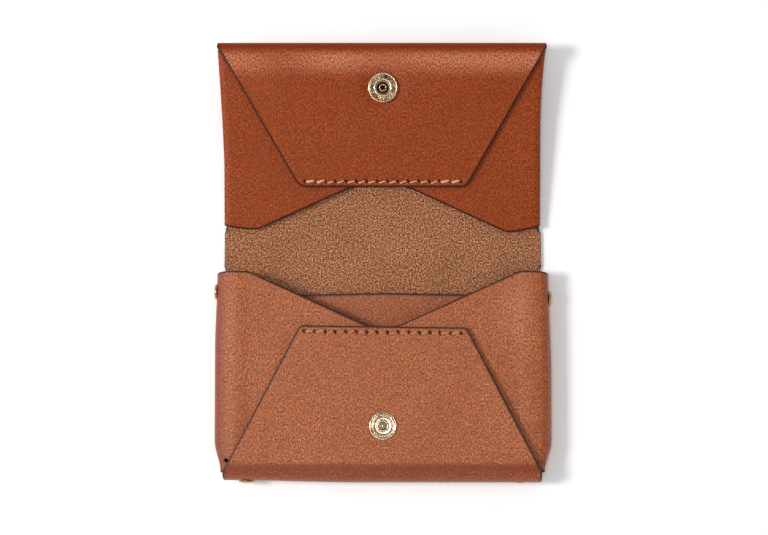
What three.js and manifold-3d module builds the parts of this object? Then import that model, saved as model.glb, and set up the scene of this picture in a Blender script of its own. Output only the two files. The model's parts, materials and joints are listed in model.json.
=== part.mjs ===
// Folded leather card holder, lying open with its inner pockets up.
// One sheet of leather folds into a deep lower pocket, a bare spine and a flat upper pocket.
// A divider is riveted into the lower pocket, and a press stud closes the two pockets on each other.
// Millimetres, +X right, +Y from the lower pocket to the upper one, +Z up.
import * as THREE from "three";
import { mergeVertices } from "three/addons/utils/BufferGeometryUtils.js";
import Module from "manifold-3d";

const wasm = await Module();
wasm.setup();

// Leather and fits
const leather = 1.2;            // thickness of the folded sheet
const dividerLeather = 1.0;     // thickness of the divider
const layerGap = 0.3;           // between two layers that lie on each other
const seat = 0.1;               // between a piece and the face that it rests on
const holeClearance = 0.3;      // round a post or a thread in its hole
const jointGap = 0.3;           // where the sheet is parted at a fold line

// Fold lines of the spine: height and place of the two axes that it folds about
const lowerFoldY = -4.9;
const lowerFoldZ = leather;
const upperFoldZ = 4.0;
const upperFoldY = upperFoldZ - lowerFoldZ - lowerFoldY;
const upperLift = 6;            // degrees that the upper pocket stands up off the table

// Lower pocket
const backHalfWidth = 52.6;     // back panel at its side folds
const creaseReach = 1.0;        // how far the side flaps' creases stand out past the back panel
const wallReach = 2.2;          // how far the side walls bulge out past it
const innerCorner = 0.5;        // rounding inside a wall, above the leather's thickness
const lowerBaseY = -71;         // bottom fold and bottom crease
const bottomWallReach = 2.8;    // how far the bottom wall stands out past them
const bottomWallInset = 0.7;    // from the back panel's side to the bottom wall's end
const sideWallStop = 2.5;       // from the bottom fold to the side walls' ends
const lowerFlapStop = 4;        // from the bottom fold to the side flaps' corners
const rearGap = 0.4;            // card space behind the divider
const frontGap = 4.8;           // card space in front of the divider
const lowerFreeY = -22.85;      // free edge of the lower front flap
const lowerFreeHalfWidth = 27.1;
const lowerMouthHalfWidth = 44.5;
const lowerTipHalfWidth = 4.2;  // straight stretch of each side flap's tip
const lowerTipSetback = 0.25;   // from the front flap's free edge to the tips under it
const lowerTipDepth = 6.9;

// Upper pocket
const upperInset = 0.2;         // how much narrower each side is than the lower back panel
const upperFlare = 1.8;         // how much wider each side is at the top edge
const flareStartY = 33;
const upperBaseY = 70.2;
const upperSideStop = 4.5;        // from the top edge to the side folds' ends
const upperFlapStop = 6.5;        // from the top edge to the side flaps' corners
const upperMouthSetback = 1.7;  // from the fold line to the side flaps
const upperMouthHalfWidth = 41.2;
const upperGap = 1.3;           // card space
const upperFreeY = 23.0;
const upperFreeHalfWidth = 27.5;
const upperTipHalfWidth = 9;
const upperTipSetback = 0.3;
const upperTipDepth = 5.7;
const freeCorner = 2.6;         // rounding of the front flaps' free corners
const tipHalfGap = 0.6;         // half the gap between the left and right tips

// Divider
const dividerSideGap = 1.3;     // from the back panel's side fold to the divider
const dividerBottomGap = 1.4;
const dividerTopY = -12.2;
const dividerCorner = 4;
const tabHalfWidth = 4;
const tabHeight = 5.2;

// Rivets
const rivetHeight = 4.7;        // height of the rivet axes
const leftRivetY = -11.7;
const rightRivetY = -14.0;
const bottomRivetInset = 8;     // from the back panel's side to the bottom rivets
const rivetCapRadius = 2.55;
const rivetCapHeight = 0.7;
const rivetRimHeight = 0.2;     // straight part of the cap below its dome
const rivetHeadRadius = 1.8;
const rivetHeadThickness = 0.45;
const rivetPostRadius = 0.8;
const rivetBoreDepth = 0.35;
const boreOverrun = 1;          // how far a cut runs on past the faces that it passes
const domeSteps = 5;

// Thread rows
const stitchPitch = 3.43;
const stitchInset = 1.9;        // from a free edge to its row
const stitchEndInset = 1.2;     // at least this far from the free edge's corner to the last hole
const threadRadius = 0.25;

// Press stud
const snapX = 0;
const studY = -55.7;
const metalEdge = 0.15;         // bevels of the turned metal
const snapWall = 0.3;           // sheet metal of the stud and of the socket's floor
const snapFlangeRadius = 4.4;   // hidden flanges inside the pockets
const snapFlangeThickness = 0.4;
const socketRadius = 4.85;
const socketHeight = 1.8;       // raised inner ring
const socketRimHeight = 1.35;   // outer ring
const socketRimWidth = 0.45;
const socketRecess = 0.15;      // the face between the rings, below the outer one
const socketMouthRadius = 2.45;
const socketMouthDepth = 0.68;
const socketRingWidth = 0.65;   // inner ring at its foot
const socketGroove = 0.3;       // how far the spring's groove widens the mouth
const socketPostRadius = 1.15;
const postBoreRadius = 0.8;
const postHeight = 1.2;         // above the leather
const studRadius = 4.5;
const studFlange = 0.35;
const studNeckRadius = 1.8;
const studLip = 0.3;            // how far the head stands out past the neck
const studHeight = 1.95;
const studHeadHeight = 0.3;
const studDimpleRadius = 1.35;
const studDimpleDepth = 1.0;
const springWire = 0.16;        // half the height of the flattened spring wire
const springSlack = 0.12;       // round the spring in its groove
const springSides = 8;

const smallSegments = 16;
const rivetSegments = 24;
const snapSegments = 32;

// Places that follow from the sizes above
const wallHalfWidth = backHalfWidth + wallReach;
const creaseHalfWidth = backHalfWidth + creaseReach;
const bottomWallHalfLength = backHalfWidth - bottomWallInset;
const bottomWallY = lowerBaseY - bottomWallReach;
const sideWallEndY = lowerBaseY + sideWallStop;
const wallCorner = leather + innerCorner;
const upperHalfWidth = backHalfWidth - upperInset;
const dividerHalfWidth = backHalfWidth - dividerSideGap;
const dividerBottomY = lowerBaseY + dividerBottomGap;
const bottomRivetX = backHalfWidth - bottomRivetInset;
const lowerStitchY = lowerFreeY - stitchInset;
const upperStitchY = upperFreeY + stitchInset;
const eyeletRadius = studNeckRadius - snapWall - 2 * seat;
const socketGrooveRadius = socketMouthRadius + socketGroove;
// The socket meets the stud when both folds are shut.
const socketY = lowerFoldY + upperFoldY + lowerFoldZ - upperFoldZ - studY;

// Heights that follow from the layers
const dividerZ = leather + rearGap;
const lowerFlapZ = dividerZ + dividerLeather + frontGap;
const lowerFlapTop = lowerFlapZ + leather;
const lowerFrontZ = lowerFlapTop + layerGap;
const lowerTop = lowerFrontZ + leather;
const upperFlapZ = leather + upperGap;
const upperFlapTop = upperFlapZ + leather;
const upperFrontZ = upperFlapTop + layerGap;
const upperTop = upperFrontZ + leather;

// Materials
const upperHide = new THREE.MeshStandardMaterial({ color: 0xa54e2a, roughness: 0.5, metalness: 0 });
const lowerHide = new THREE.MeshStandardMaterial({ color: 0xb46242, roughness: 0.42, metalness: 0 });
const suede = new THREE.MeshStandardMaterial({ color: 0xa56c4b, roughness: 0.95, metalness: 0 });
const linen = new THREE.MeshStandardMaterial({ color: 0xd7a578, roughness: 0.8, metalness: 0 });
const brass = new THREE.MeshStandardMaterial({ color: 0xcfa960, roughness: 0.25, metalness: 1 });
const steel = new THREE.MeshStandardMaterial({ color: 0x8f8a82, roughness: 0.35, metalness: 1 });

// Solids
function solid(geometry) {
  const bare = geometry.clone();
  bare.deleteAttribute("normal");
  bare.deleteAttribute("uv");
  const merged = mergeVertices(bare, 1e-4);
  return new wasm.Manifold(new wasm.Mesh({
    numProp: 3,
    vertProperties: new Float32Array(merged.attributes.position.array),
    triVerts: new Uint32Array(merged.index.array),
  }));
}

function toGeometry(shape) {
  const data = shape.getMesh();
  const geometry = new THREE.BufferGeometry();
  geometry.setAttribute("position", new THREE.BufferAttribute(new Float32Array(data.vertProperties), 3));
  geometry.setIndex(new THREE.BufferAttribute(new Uint32Array(data.triVerts), 1));
  geometry.computeVertexNormals();
  return geometry;
}

function joined(solids) {
  return solids.reduce((all, next) => all.add(next));
}

function piece(name, shape, material) {
  const mesh = new THREE.Mesh(toGeometry(shape), material);
  mesh.name = name;
  return mesh;
}

// A flat outline with round holes, given as [x, y, radius], lifted to z and extruded upwards
function plate(shape, z, thickness, holes = []) {
  for (const [x, y, radius] of holes) {
    const hole = new THREE.Path();
    hole.absarc(x, y, radius, 0, Math.PI * 2);
    shape.holes.push(hole);
  }
  const geometry = new THREE.ExtrudeGeometry(shape, { depth: thickness, bevelEnabled: false, curveSegments: 4 });
  geometry.translate(0, 0, z);
  return solid(geometry);
}

function outline(points) {
  return new THREE.Shape(points.map(([x, y]) => new THREE.Vector2(x, y)));
}

function box(x0, x1, y0, y1, z0, z1) {
  const geometry = new THREE.BoxGeometry(x1 - x0, y1 - y0, z1 - z0);
  geometry.translate((x0 + x1) / 2, (y0 + y1) / 2, (z0 + z1) / 2);
  return solid(geometry);
}

// A turned piece: its profile is [radius, height] pairs and its axis is +Z before it is placed
function turned(profile, segments, position, direction = [0, 0, 1]) {
  const closed = [...profile, profile[0]].map(([radius, height]) => new THREE.Vector2(radius, height));
  const geometry = new THREE.LatheGeometry(closed, segments);
  geometry.rotateX(Math.PI / 2);
  const aim = new THREE.Quaternion();
  aim.setFromUnitVectors(new THREE.Vector3(0, 0, 1), new THREE.Vector3(...direction));
  geometry.applyQuaternion(aim);
  geometry.translate(...position);
  return solid(geometry);
}

// A round bar between two points
function bar(from, to, radius) {
  const start = new THREE.Vector3(...from);
  const end = new THREE.Vector3(...to);
  const path = new THREE.LineCurve3(start, end);
  const section = new THREE.Shape();
  section.absarc(0, 0, radius, 0, Math.PI * 2);
  return solid(new THREE.ExtrudeGeometry(section, { steps: 1, extrudePath: path, curveSegments: 3 }));
}

// Front flap: wide at its fold, narrower at its free edge, whose two corners are rounded
function frontFlap(baseY, baseHalfWidth, freeY, freeHalfWidth) {
  const slope = (baseHalfWidth - freeHalfWidth) / (baseY - freeY);
  const stepY = Math.sign(baseY - freeY) * freeCorner / Math.hypot(1, slope);
  const sideX = freeHalfWidth + slope * stepY;
  const sideY = freeY + stepY;
  const shape = new THREE.Shape();
  shape.moveTo(-baseHalfWidth, baseY);
  shape.lineTo(baseHalfWidth, baseY);
  shape.lineTo(sideX, sideY);
  shape.quadraticCurveTo(freeHalfWidth, freeY, freeHalfWidth - freeCorner, freeY);
  shape.lineTo(freeCorner - freeHalfWidth, freeY);
  shape.quadraticCurveTo(-freeHalfWidth, freeY, -sideX, sideY);
  shape.closePath();
  return shape;
}

// Section of a bulging wall, from the back panel round to the layer in front, as [out, up]
function wallSection(backOut, frontOut, wallOut, height) {
  const inner = wallOut - leather;
  const top = height - leather;
  const shape = new THREE.Shape();
  shape.moveTo(backOut - leather, 0);
  shape.lineTo(backOut, 0);
  shape.quadraticCurveTo(wallOut, 0, wallOut, wallCorner);
  shape.lineTo(wallOut, height - wallCorner);
  shape.quadraticCurveTo(wallOut, height, frontOut, height);
  shape.lineTo(frontOut - leather, height);
  shape.lineTo(frontOut - leather, top);
  shape.quadraticCurveTo(inner, top, inner, height - wallCorner);
  shape.lineTo(inner, wallCorner);
  shape.quadraticCurveTo(inner, leather, backOut - leather, leather);
  shape.closePath();
  return shape;
}

// A wall of that section, lying along +Z with its foot at the origin before it is turned and placed
function wall(section, length) {
  return new THREE.ExtrudeGeometry(section, { depth: length, bevelEnabled: false, curveSegments: 4 });
}

// Where the stitches of a row lie: as many as fit between the corners of its free edge
function stitchRow(freeHalfWidth) {
  const count = Math.floor(2 * (freeHalfWidth - stitchEndInset) / stitchPitch) + 1;
  return Array.from({ length: count }, (_, i) => (i - (count - 1) / 2) * stitchPitch);
}

function stitchHoles(row, y) {
  return row.map((x) => [x, y, threadRadius + holeClearance]);
}

const lowerHoles = stitchHoles(stitchRow(lowerFreeHalfWidth), lowerStitchY);
const upperHoles = stitchHoles(stitchRow(upperFreeHalfWidth), upperStitchY);

// Rivets: a name, the point where the axis leaves the wall, and the way that it points
const rivets = [
  ["left_rivet", [-wallHalfWidth, leftRivetY, rivetHeight], [-1, 0, 0]],
  ["right_rivet", [wallHalfWidth, rightRivetY, rivetHeight], [1, 0, 0]],
  ["bottom_left_rivet", [-bottomRivetX, bottomWallY, rivetHeight], [0, -1, 0]],
  ["bottom_right_rivet", [bottomRivetX, bottomWallY, rivetHeight], [0, -1, 0]],
];

// Clearance bores for the rivet posts, long enough to pass the wall and the divider's tab
function rivetBores() {
  const depth = leather + dividerLeather + 2 * seat + boreOverrun;
  const radius = rivetPostRadius + holeClearance;
  const profile = [[0, -depth], [radius, -depth], [radius, boreOverrun], [0, boreOverrun]];
  return joined(rivets.map(([, point, direction]) => turned(profile, smallSegments, point, direction)));
}

// Lower pocket: back panel, side walls with their flaps, bottom wall and front flap, all one sheet
function lowerPocket() {
  const back = outline([
    [-backHalfWidth, lowerFoldY], [backHalfWidth, lowerFoldY], [backHalfWidth, sideWallEndY],
    [bottomWallHalfLength, lowerBaseY], [-bottomWallHalfLength, lowerBaseY], [-backHalfWidth, sideWallEndY],
  ]);
  const parts = [plate(back, 0, leather)];

  const tipY = lowerFreeY - lowerTipSetback;
  const flapEndY = lowerBaseY + lowerFlapStop;
  const sideSection = wallSection(backHalfWidth, creaseHalfWidth, wallHalfWidth, lowerFlapTop);
  for (const side of [-1, 1]) {
    const sideWall = wall(sideSection, lowerFoldY - sideWallEndY);
    sideWall.rotateX(Math.PI / 2);
    sideWall.translate(0, lowerFoldY, 0);
    const standing = solid(sideWall);
    parts.push(side > 0 ? standing : standing.mirror([1, 0, 0]));
    const flap = outline([
      [side * creaseHalfWidth, lowerFoldY], [side * lowerMouthHalfWidth, lowerFoldY],
      [side * lowerTipHalfWidth, tipY], [side * tipHalfGap, tipY],
      [side * tipHalfGap, tipY - lowerTipDepth], [side * creaseHalfWidth, flapEndY],
    ]);
    parts.push(plate(flap, lowerFlapZ, leather, lowerHoles.filter(([x]) => x * side > 0)));
  }

  const bottomSection = wallSection(-lowerBaseY, -lowerBaseY, -bottomWallY, lowerTop);
  const bottomWall = wall(bottomSection, 2 * bottomWallHalfLength);
  bottomWall.rotateX(Math.PI / 2);
  bottomWall.rotateZ(-Math.PI / 2);
  bottomWall.translate(bottomWallHalfLength, 0, 0);
  parts.push(solid(bottomWall));

  const front = frontFlap(lowerBaseY, bottomWallHalfLength, lowerFreeY, lowerFreeHalfWidth);
  const studHole = [snapX, studY, eyeletRadius + holeClearance];
  parts.push(plate(front, lowerFrontZ, leather, [...lowerHoles, studHole]));
  return joined(parts).subtract(rivetBores());
}

// Spine: the bare stretch of the sheet between the two fold lines
function spine() {
  const y0 = lowerFoldY + jointGap;
  const y1 = upperFoldY - jointGap / 2;
  return box(-backHalfWidth, backHalfWidth, y0, y1, 0, leather);
}

// Upper pocket, modelled flat: back panel, side folds with their flaps, top fold and front flap
function upperPocket() {
  const topHalfWidth = upperHalfWidth + upperFlare;
  const backEndY = upperFoldY + jointGap / 2;
  const flareAt = (y) => upperHalfWidth + upperFlare * (y - flareStartY) / (upperBaseY - flareStartY);
  const sideEndY = upperBaseY - upperSideStop;
  const flapEndY = upperBaseY - upperFlapStop;
  const mouthY = upperFoldY + upperMouthSetback;
  const tipY = upperFreeY + upperTipSetback;
  const sideHalfWidth = flareAt(sideEndY);
  const back = outline([
    [-upperHalfWidth, backEndY], [upperHalfWidth, backEndY], [upperHalfWidth, flareStartY],
    [sideHalfWidth, sideEndY], [topHalfWidth, upperBaseY], [-topHalfWidth, upperBaseY],
    [-sideHalfWidth, sideEndY], [-upperHalfWidth, flareStartY],
  ]);
  const parts = [plate(back, 0, leather)];

  for (const side of [-1, 1]) {
    const fold = outline([
      [side * upperHalfWidth, mouthY], [side * upperHalfWidth, flareStartY],
      [side * sideHalfWidth, sideEndY], [side * (sideHalfWidth - leather), sideEndY],
      [side * (upperHalfWidth - leather), flareStartY], [side * (upperHalfWidth - leather), mouthY],
    ]);
    parts.push(plate(fold, 0, upperFlapTop));
    const flap = outline([
      [side * upperHalfWidth, mouthY], [side * upperMouthHalfWidth, mouthY],
      [side * upperTipHalfWidth, tipY], [side * tipHalfGap, tipY],
      [side * tipHalfGap, tipY + upperTipDepth], [side * flareAt(flapEndY), flapEndY],
      [side * upperHalfWidth, flareStartY],
    ]);
    parts.push(plate(flap, upperFlapZ, leather, upperHoles.filter(([x]) => x * side > 0)));
  }

  parts.push(box(-topHalfWidth, topHalfWidth, upperBaseY - leather, upperBaseY, 0, upperTop));
  const front = frontFlap(upperBaseY, topHalfWidth, upperFreeY, upperFreeHalfWidth);
  const socketHole = [snapX, socketY, socketPostRadius + holeClearance];
  parts.push(plate(front, upperFrontZ, leather, [...upperHoles, socketHole]));
  return joined(parts);
}

// Divider: a flat sheet with four tabs turned up against the walls
function divider() {
  const shape = new THREE.Shape();
  shape.moveTo(-dividerHalfWidth, dividerBottomY);
  shape.lineTo(dividerHalfWidth, dividerBottomY);
  shape.lineTo(dividerHalfWidth, dividerTopY - dividerCorner);
  shape.quadraticCurveTo(dividerHalfWidth, dividerTopY, dividerHalfWidth - dividerCorner, dividerTopY);
  shape.lineTo(dividerCorner - dividerHalfWidth, dividerTopY);
  shape.quadraticCurveTo(-dividerHalfWidth, dividerTopY, -dividerHalfWidth, dividerTopY - dividerCorner);
  shape.closePath();
  const parts = [plate(shape, dividerZ, dividerLeather)];

  const foldTop = dividerZ + dividerLeather;
  const tabTop = dividerZ + tabHeight;
  const sideOut = wallHalfWidth - leather - seat;
  const sideIn = sideOut - dividerLeather;
  for (const [side, rivetY] of [[-1, leftRivetY], [1, rightRivetY]]) {
    // Each tab is centred on its rivet, so it also reaches up past the divider's shoulder.
    const y0 = rivetY - tabHalfWidth;
    const y1 = rivetY + tabHalfWidth;
    const strip = box(dividerHalfWidth - dividerCorner, sideOut, y0, y1, dividerZ, foldTop);
    const upright = box(sideIn, sideOut, y0, y1, dividerZ, tabTop);
    const tab = strip.add(upright);
    parts.push(side > 0 ? tab : tab.mirror([1, 0, 0]));
  }
  const bottomOut = bottomWallY + leather + seat;
  const bottomIn = bottomOut + dividerLeather;
  for (const side of [-1, 1]) {
    const x0 = side * bottomRivetX - tabHalfWidth;
    const x1 = side * bottomRivetX + tabHalfWidth;
    parts.push(box(x0, x1, bottomOut, dividerBottomY + leather, dividerZ, foldTop));
    parts.push(box(x0, x1, bottomOut, bottomIn, dividerZ, tabTop));
  }
  return joined(parts).subtract(rivetBores());
}

// Rivet: a domed cap with a blind bore outside the wall, and a headed post from inside the tab
function rivetCap(point, direction) {
  const boreRadius = rivetPostRadius + seat;
  const rimTop = seat + rivetRimHeight;
  const top = seat + rivetCapHeight;
  const dome = Array.from({ length: domeSteps }, (_, i) => {
    const angle = i / domeSteps * Math.PI / 2;
    return [rivetCapRadius * Math.cos(angle), rimTop + (top - rimTop) * Math.sin(angle)];
  });
  const profile = [
    [0, seat + rivetBoreDepth], [boreRadius, seat + rivetBoreDepth], [boreRadius, seat],
    [rivetCapRadius, seat], ...dome, [0, top],
  ];
  return turned(profile, rivetSegments, point, direction);
}

function rivetPost(point, direction) {
  const headTop = -(leather + dividerLeather + 2 * seat);
  const headBottom = headTop - rivetHeadThickness;
  const profile = [
    [0, headBottom], [rivetHeadRadius - metalEdge, headBottom], [rivetHeadRadius, headBottom + metalEdge],
    [rivetHeadRadius, headTop], [rivetPostRadius, headTop], [rivetPostRadius, rivetBoreDepth],
    [0, rivetBoreDepth],
  ];
  return turned(profile, rivetSegments, point, direction);
}

// Thread row: strokes over and under the layers, joined by a leg through every hole
function thread(holes, top, bottom) {
  const over = top + seat + threadRadius;
  const under = bottom - seat - threadRadius;
  const parts = holes.map(([x, y]) => bar([x, y, under], [x, y, over], threadRadius));
  for (let i = 1; i < holes.length; i += 1) {
    const y = holes[i][1];
    const from = holes[i - 1][0] - threadRadius / 2;
    const to = holes[i][0] + threadRadius / 2;
    parts.push(bar([from, y, over], [to, y, over], threadRadius));
    parts.push(bar([from, y, under], [to, y, under], threadRadius));
  }
  return joined(parts);
}

// Press stud, lower half: a stepped stud with a dimple, and the eyelet that holds it
function snapStud() {
  const cavity = studNeckRadius - snapWall;
  const base = lowerTop + seat;
  const top = base + studHeight;
  const flange = base + studFlange;
  const headBottom = top - studHeadHeight;
  const headRadius = studNeckRadius + studLip;
  const dimpleFloor = top - studDimpleDepth;
  const profile = [
    [0, dimpleFloor - snapWall], [cavity, dimpleFloor - snapWall], [cavity, base],
    [studRadius, base], [studRadius, flange - metalEdge], [studRadius - metalEdge, flange],
    [studNeckRadius, flange], [studNeckRadius, headBottom], [headRadius, headBottom],
    [headRadius, top - metalEdge], [headRadius - metalEdge, top], [studDimpleRadius, top],
    [studDimpleRadius, dimpleFloor], [0, dimpleFloor],
  ];
  return turned(profile, snapSegments, [snapX, studY, 0]);
}

function studEyelet() {
  const under = lowerFrontZ - seat;
  const top = lowerTop + studHeight - studDimpleDepth - snapWall;
  const bore = eyeletRadius - snapWall;
  const profile = [
    [bore, under - snapFlangeThickness], [snapFlangeRadius, under - snapFlangeThickness],
    [snapFlangeRadius, under], [eyeletRadius, under], [eyeletRadius, top], [bore, top],
  ];
  return turned(profile, snapSegments, [snapX, studY, 0]);
}

// Press stud, upper half: the socket ring, the round spring in its groove, and the hidden cap
const socketBase = upperTop + seat;
const socketTop = socketBase + socketHeight;
const socketLip = socketTop - socketMouthDepth;

function snapSocket() {
  const bore = socketPostRadius + seat;
  const rim = socketBase + socketRimHeight;
  const recess = rim - socketRecess;
  const rimInside = socketRadius - socketRimWidth;
  const ringOutside = socketMouthRadius + socketRingWidth;
  const profile = [
    [bore, socketBase], [socketRadius - metalEdge, socketBase], [socketRadius, socketBase + metalEdge],
    [socketRadius, rim - metalEdge], [socketRadius - metalEdge, rim], [rimInside, rim],
    [rimInside - metalEdge, recess], [ringOutside, recess], [ringOutside - metalEdge, socketTop],
    [socketMouthRadius + metalEdge, socketTop], [socketMouthRadius, socketTop - metalEdge],
    [socketMouthRadius, socketLip], [socketGrooveRadius, socketLip - metalEdge],
    [socketGrooveRadius, socketBase + snapWall], [bore, socketBase + snapWall],
  ];
  return turned(profile, snapSegments, [snapX, socketY, 0]);
}

function socketSpring() {
  // The wire lies against the underside of the socket's lip, where it grips the stud's neck.
  const centre = (studNeckRadius + socketGrooveRadius) / 2;
  const reach = (socketGrooveRadius - studNeckRadius) / 2 - springSlack;
  const height = socketLip - metalEdge - springWire;
  const profile = Array.from({ length: springSides }, (_, i) => {
    const angle = i / springSides * Math.PI * 2;
    return [centre + reach * Math.cos(angle), height + springWire * Math.sin(angle)];
  });
  return turned(profile, snapSegments, [snapX, socketY, 0]);
}

function socketCap() {
  const under = upperFrontZ - seat;
  const top = upperTop + postHeight;
  const bottom = under - snapFlangeThickness;
  const boreFloor = bottom + metalEdge;
  const profile = [
    [0, bottom], [snapFlangeRadius, bottom], [snapFlangeRadius, under], [socketPostRadius, under],
    [socketPostRadius, top - metalEdge], [socketPostRadius - metalEdge, top], [postBoreRadius, top],
    [postBoreRadius, boreFloor], [0, boreFloor],
  ];
  return turned(profile, snapSegments, [snapX, socketY, 0]);
}

// Assembly
const upper = new THREE.Group();
upper.add(piece("upper_pocket_leather", upperPocket(), upperHide));
upper.add(piece("upper_thread", thread(upperHoles, upperTop, upperFlapZ), linen));
upper.add(piece("socket_cap", socketCap(), brass));
upper.add(piece("snap_socket", snapSocket(), brass));
upper.add(piece("socket_spring", socketSpring(), steel));
upper.position.set(0, -upperFoldY, -upperFoldZ);

const lifted = new THREE.Group();
lifted.add(upper);
lifted.position.set(0, upperFoldY, upperFoldZ);
lifted.rotation.x = THREE.MathUtils.degToRad(upperLift);

const group = new THREE.Group();
group.add(piece("lower_pocket_leather", lowerPocket(), lowerHide));
group.add(piece("spine_leather", spine(), suede));
group.add(piece("divider", divider(), lowerHide));
group.add(piece("lower_thread", thread(lowerHoles, lowerTop, lowerFlapZ), linen));
group.add(piece("snap_stud", snapStud(), brass));
group.add(piece("stud_eyelet", studEyelet(), brass));
for (const [name, point, direction] of rivets) {
  group.add(piece(`${name}_cap`, rivetCap(point, direction), brass));
  group.add(piece(`${name}_post`, rivetPost(point, direction), brass));
}
group.add(lifted);

// The origin is the middle of the box on the table.
group.updateMatrixWorld(true);
const bounds = new THREE.Box3().setFromObject(group, true);
const middle = bounds.getCenter(new THREE.Vector3());
group.position.set(-middle.x, -middle.y, -bounds.min.z);

export default group;
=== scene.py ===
import json
import math

import bmesh
import bpy
import numpy as np
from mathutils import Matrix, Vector
from mathutils.geometry import delaunay_2d_cdt


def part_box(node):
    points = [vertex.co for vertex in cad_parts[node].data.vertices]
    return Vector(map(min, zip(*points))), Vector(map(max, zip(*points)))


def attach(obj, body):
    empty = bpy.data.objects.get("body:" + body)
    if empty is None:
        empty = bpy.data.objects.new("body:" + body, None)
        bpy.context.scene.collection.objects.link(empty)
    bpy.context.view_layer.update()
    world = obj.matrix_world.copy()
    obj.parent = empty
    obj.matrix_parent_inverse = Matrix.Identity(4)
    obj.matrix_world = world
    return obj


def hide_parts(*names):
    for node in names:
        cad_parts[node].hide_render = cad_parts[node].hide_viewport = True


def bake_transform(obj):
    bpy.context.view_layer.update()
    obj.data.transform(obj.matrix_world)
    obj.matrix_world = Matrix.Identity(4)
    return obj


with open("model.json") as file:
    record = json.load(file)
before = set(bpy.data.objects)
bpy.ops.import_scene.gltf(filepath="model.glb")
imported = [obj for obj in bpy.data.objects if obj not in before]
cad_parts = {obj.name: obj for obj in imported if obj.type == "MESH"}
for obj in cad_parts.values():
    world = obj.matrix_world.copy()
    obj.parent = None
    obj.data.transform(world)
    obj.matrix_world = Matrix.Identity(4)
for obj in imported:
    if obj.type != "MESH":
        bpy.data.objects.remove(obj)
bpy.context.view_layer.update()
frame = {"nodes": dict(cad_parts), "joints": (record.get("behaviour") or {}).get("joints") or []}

MM = 0.001


def joint_point(name):
    found = next(j for j in frame["joints"] if j["name"] == name)
    return [value / MM for value in found["pos_m"]]


# Places from the frame. The drawing's own Y starts 4.9 mm above the lower fold line.
LOWER_FOLD_Y = -4.9
_, fold_row_y, LOWER_FOLD_Z = joint_point("spine_fold")
SHIFT_Y = fold_row_y - LOWER_FOLD_Y
_, upper_row_y, UPPER_FOLD_Z = joint_point("flap_fold")
UPPER_FOLD_Y = upper_row_y - SHIFT_Y
UPPER_LIFT = math.radians(6)  # how far the upper pocket stands up off the table
BEND_REACH = 8.0  # the upper fold bends over this length each way
SEAM_Y = -3.4  # where the sheet is parted, on the spine
SPINE_HALF = 52.6  # half width of the sheet at the seam
CREASE_END_Y = -3.5  # the lower fold bends from its axis to here

LEATHER = 1.2
DIVIDER_LEATHER = 1.0
# Heights of the middle of each layer of leather
BACK_MID = LEATHER / 2
LOWER_FLAP_MID = 8.0
LOWER_FRONT_MID = 9.5
UPPER_FLAP_MID = 3.1
UPPER_FRONT_MID = 4.6
DIVIDER_MID = 2.1

STITCHES = 16
STITCH_PITCH = 3.43
LOWER_FREE_Y = -22.85
UPPER_FREE_Y = 23.0
STITCH_INSET = 1.9  # from the free edge of a front flap to its stitch row
STUD_Y = -55.7
SOCKET_Y = 55.7


def link_object(name, data):
    """A new object in the scene that holds the mesh, lamp or camera."""
    piece = bpy.data.objects.new(name, data)
    bpy.context.scene.collection.objects.link(piece)
    return piece


def as_is(points):
    return points


# Small helpers for outlines, all in the sheet's flat pattern
def arc_points(cx, cy, radius, start, end, count):
    angles = np.linspace(math.radians(start), math.radians(end), count)
    return [(cx + radius * math.cos(a), cy + radius * math.sin(a)) for a in angles]


def rounded(points, radii, steps=6):
    """A closed outline whose corners are rounded by a curve that starts radii[i] before corner i."""
    result = []
    n = len(points)
    for i, radius in enumerate(radii):
        corner = np.array(points[i])
        if radius <= 0:
            result.append(tuple(corner))
            continue
        before = np.array(points[i - 1]) - corner
        after = np.array(points[(i + 1) % n]) - corner
        a = corner + before / np.linalg.norm(before) * radius
        b = corner + after / np.linalg.norm(after) * radius
        for t in np.linspace(0, 1, steps):
            result.append(tuple((1 - t) ** 2 * a + 2 * t * (1 - t) * corner + t * t * b))
    return result


def resampled(points, spacing):
    """The closed outline with points added so that none are further apart than spacing."""
    result = []
    for i, start in enumerate(points):
        end = points[(i + 1) % len(points)]
        dx, dy = end[0] - start[0], end[1] - start[1]
        length = math.hypot(dx, dy)
        if length < 1e-6:
            continue
        count = max(1, math.ceil(length / spacing))
        result += [(start[0] + dx * (k / count), start[1] + dy * (k / count)) for k in range(count)]
    return np.array(result)


def slot_outline(x, y, length, width, slant):
    """A pricked hole: a slim rounded slot whose long axis leans by slant degrees."""
    half = length / 2 - width / 2
    ends = arc_points(half, 0, width / 2, -90, 90, 5) + arc_points(-half, 0, width / 2, 90, 270, 5)
    c, s = math.cos(math.radians(slant)), math.sin(math.radians(slant))
    return [(x + c * px - s * py, y + s * px + c * py) for px, py in ends]


def inside(points, loops):
    """Which points lie inside the loops, by the even-odd rule."""
    flags = np.zeros(len(points), bool)
    px, py = points[:, 0], points[:, 1]
    for loop in loops:
        nxt = np.roll(loop, -1, axis=0)
        for (x0, y0), (x1, y1) in zip(loop, nxt):
            if y0 == y1:
                continue
            cross = (y0 > py) != (y1 > py)
            at = (x1 - x0) * (py - y0) / (y1 - y0) + x0
            flags ^= cross & (px < at)
    return flags


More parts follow.
